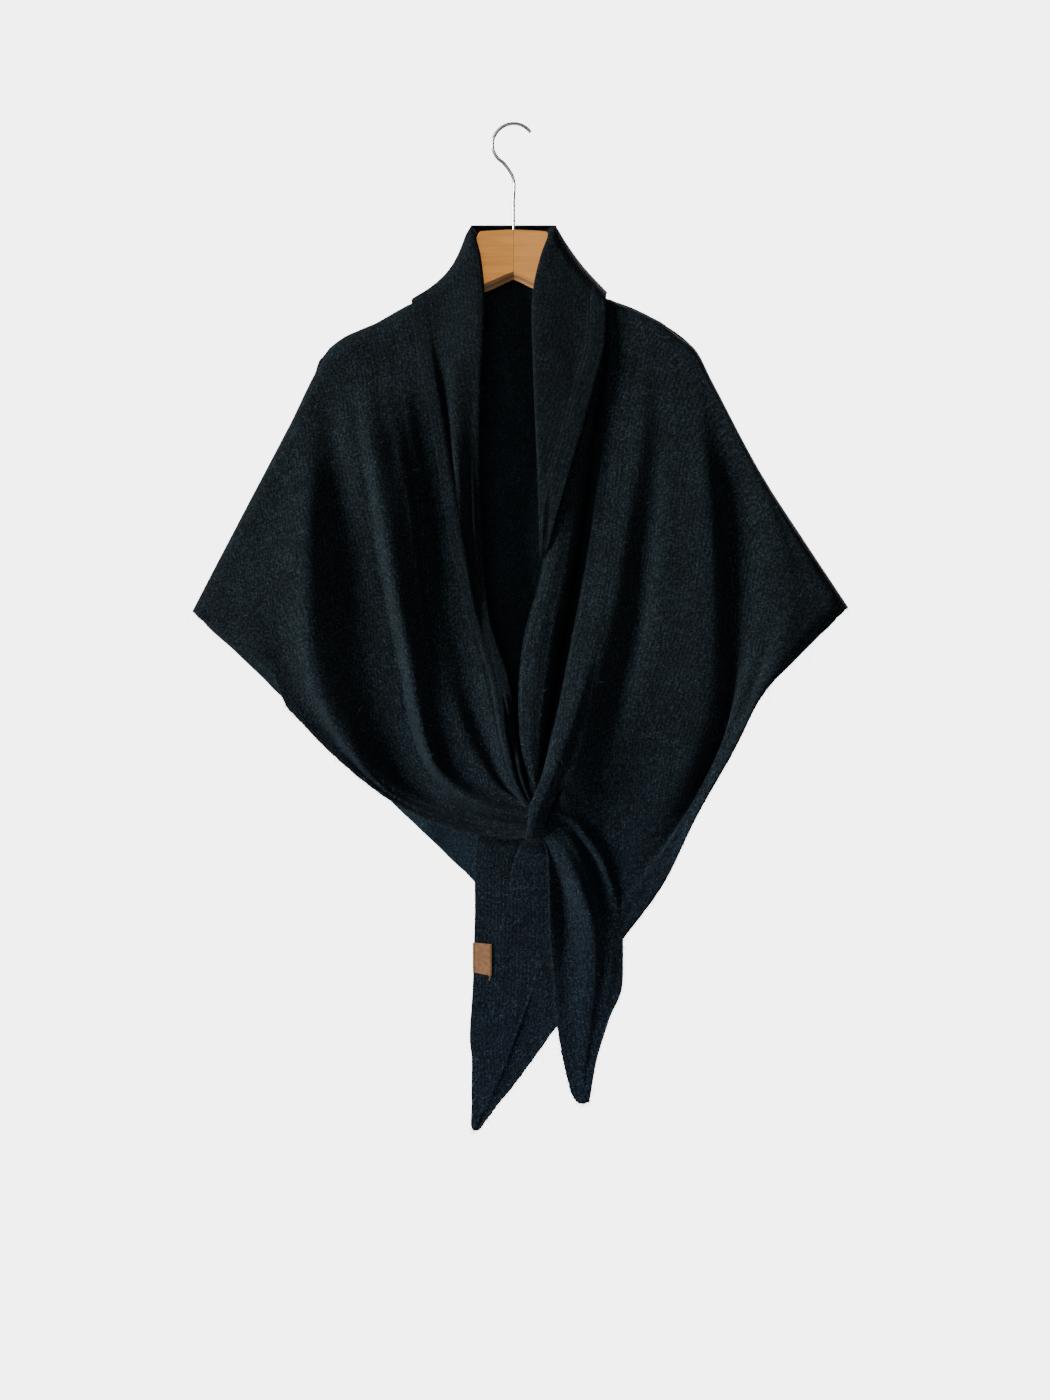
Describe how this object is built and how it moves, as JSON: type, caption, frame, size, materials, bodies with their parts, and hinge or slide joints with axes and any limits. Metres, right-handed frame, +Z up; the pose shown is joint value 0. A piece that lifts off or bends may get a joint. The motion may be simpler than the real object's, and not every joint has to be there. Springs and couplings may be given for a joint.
{
  "type": "knit triangle shawl on wooden hanger",
  "caption": "Dark knit triangle shawl hung on a light wooden hanger, its long edge turned out as collar and lapels and one end drawn through a slit in the other so two tails fall in front",
  "frame": {"origin": "inside top of the hanger's hook, where a rail or peg bears", "axes": "+Z up, +X to the viewer's right, the front faces -Y"},
  "size_m": [0.6758, 0.0904, 1.0449],
  "materials": {
    "knit": "brushed fine knit, soft raised nap, very dark",
    "label": "matte tan patch, bare",
    "wood": "light wood, clear satin coat",
    "steel": "bright bent wire"
  },
  "bodies": {
    "root": {"left_front": "knit", "right_front": "knit", "back_panel": "knit", "left_tail": "knit", "right_tail": "knit", "left_lapel": "knit", "right_lapel": "knit", "back_collar": "knit", "loop_band": "knit", "label_patch": "label", "hanger_arm_left": "wood", "hanger_arm_right": "wood", "hanger_hook": "steel"}
  },
  "joints": []
}
